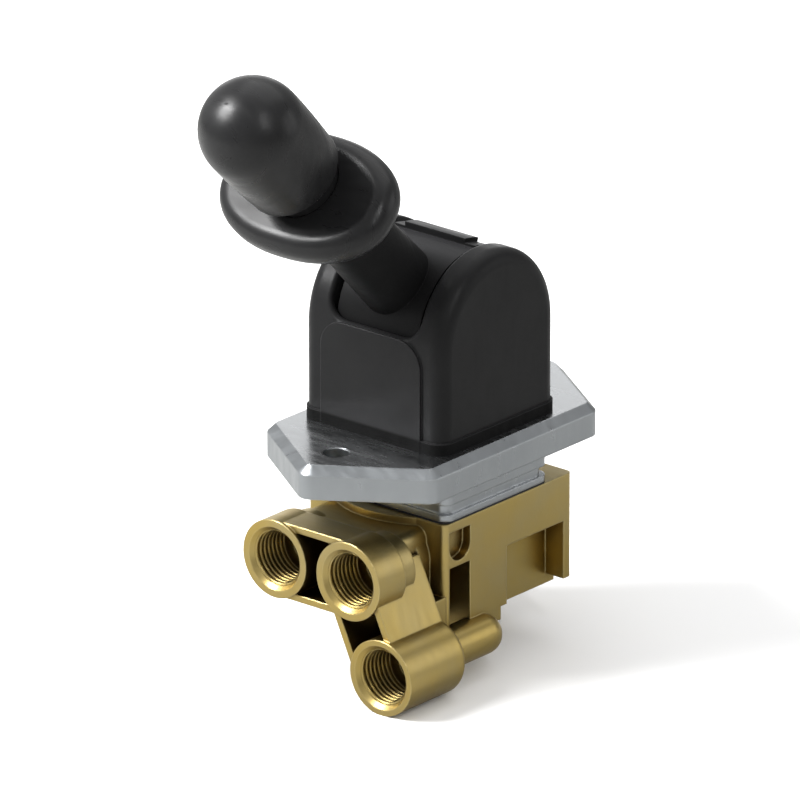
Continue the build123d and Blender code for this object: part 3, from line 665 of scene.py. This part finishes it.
def white_paper():
    """The floor's finish: white to the camera, duller as a light, and glowing far away."""
    seen, as_a_light = (0.97, 0.97, 0.97), (0.52, 0.52, 0.51)
    glow_starts, glow_full = 0.30, 0.80
    paper = bpy.data.materials.new("white_paper")
    paper.use_nodes = True
    tree = paper.node_tree
    shader = tree.nodes["Principled BSDF"]
    to_camera = add(tree, "ShaderNodeLightPath").outputs["Is Camera Ray"]
    where = add(tree, "ShaderNodeTexCoord").outputs["Object"]
    far = spread(tree, vector_value(tree, "LENGTH", where), glow_starts, glow_full)
    glow = math_node(tree, "MULTIPLY", far, to_camera)
    looks = {
        "Base Color": blend_colour(tree, to_camera, as_a_light, seen),
        "Emission Color": blend_colour(tree, glow, (0.0, 0.0, 0.0), (1.0, 1.0, 1.0)),
        "Emission Strength": 1.0,
        "Roughness": 0.9,
        "Specular IOR Level": 0.0,
    }
    for label, value in looks.items():
        feed(tree, shader.inputs[label], value)
    return paper


def lay_floor():
    """A wide sheet under the part."""
    reach = 4.0
    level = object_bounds()[0].z
    corners = [(x * reach, y * reach, level) for x, y in ((-1, -1), (1, -1), (1, 1), (-1, 1))]
    sheet = bpy.data.meshes.new("floor")
    sheet.from_pydata(corners, [], [(0, 1, 2, 3)])
    sheet.materials.append(white_paper())
    new_object("floor", sheet)


def light_world():
    """White to the camera; to the part, a soft light that is stronger from one side."""
    bright_side = (-0.62, -0.42, 0.66)
    darkest_at, brightest_at = -0.75, 0.95
    weakest, strongest = 0.20, 0.80
    as_seen = 1.0
    world = bpy.data.worlds.new("studio")
    bpy.context.scene.world = world
    world.use_nodes = True
    tree = world.node_tree
    tree.nodes.clear()
    to_camera = add(tree, "ShaderNodeLightPath").outputs["Is Camera Ray"]
    direction = add(tree, "ShaderNodeTexCoord").outputs["Generated"]
    facing = vector_value(tree, "DOT_PRODUCT", direction, bright_side)
    soft_light = spread(tree, facing, darkest_at, brightest_at, weakest, strongest)
    strength = blend_value(tree, to_camera, soft_light, as_seen)
    white = {"Color": opaque((1.0, 1.0, 1.0)), "Strength": strength}
    background = add(tree, "ShaderNodeBackground", white)
    add(tree, "ShaderNodeOutputWorld", {"Surface": background.outputs[0]})


lay_floor()
light_world()

# ------------------------------------------------------------------ lamps


def softbox(name, towards, width, height, power):
    """Rectangular lamp on the side given, turned to the object."""
    distance = 0.9
    lamp = bpy.data.lights.new(name, "AREA")
    lamp.shape = "RECTANGLE"
    lamp.size = width
    lamp.size_y = height
    lamp.energy = power
    holder = new_object(name, lamp)
    holder.location = Vector(towards).normalized() * distance
    holder.rotation_mode = "QUATERNION"
    holder.rotation_quaternion = Vector(towards).to_track_quat("Z", "Y")


softbox("key", (-0.70, -0.85, 1.00), width=0.36, height=0.38, power=15.0)
softbox("right_strip", (0.70, -0.30, 0.62), width=0.06, height=0.42, power=1.5)
softbox("rim", (0.75, 0.60, 0.30), width=0.60, height=0.50, power=1.3)
softbox("back_left", (-0.75, 0.75, 0.16), width=0.50, height=0.36, power=0.6)
softbox("overhead", (-0.10, 0.40, 1.0), width=0.90, height=0.80, power=2.5)

# ------------------------------------------------------------------ camera


def set_camera():
    """A long lens, round to the right of the front and a little above."""
    azimuth = radians(40.2)
    elevation = radians(20.8)
    lens = 600.0
    frame_width = 200 * MM
    centre_height, shift_left, shift_up = 8.5 * MM, 7.41 * MM, 3.275 * MM
    back = Vector(
        (sin(azimuth) * cos(elevation), -cos(azimuth) * cos(elevation), sin(elevation))
    )
    right = Vector((cos(azimuth), sin(azimuth), 0))
    up = back.cross(right)
    aim = Vector((0, 0, centre_height)) - right * shift_left + up * shift_up
    optics = bpy.data.cameras.new("camera")
    optics.lens = lens
    distance = frame_width * lens / optics.sensor_width
    optics.clip_end = 4 * distance
    camera = new_object("camera", optics)
    camera.location = aim + back * distance
    camera.rotation_mode = "QUATERNION"
    camera.rotation_quaternion = back.to_track_quat("Z", "Y")
    bpy.context.scene.camera = camera
    bpy.context.scene.view_settings.view_transform = "Standard"


set_camera()
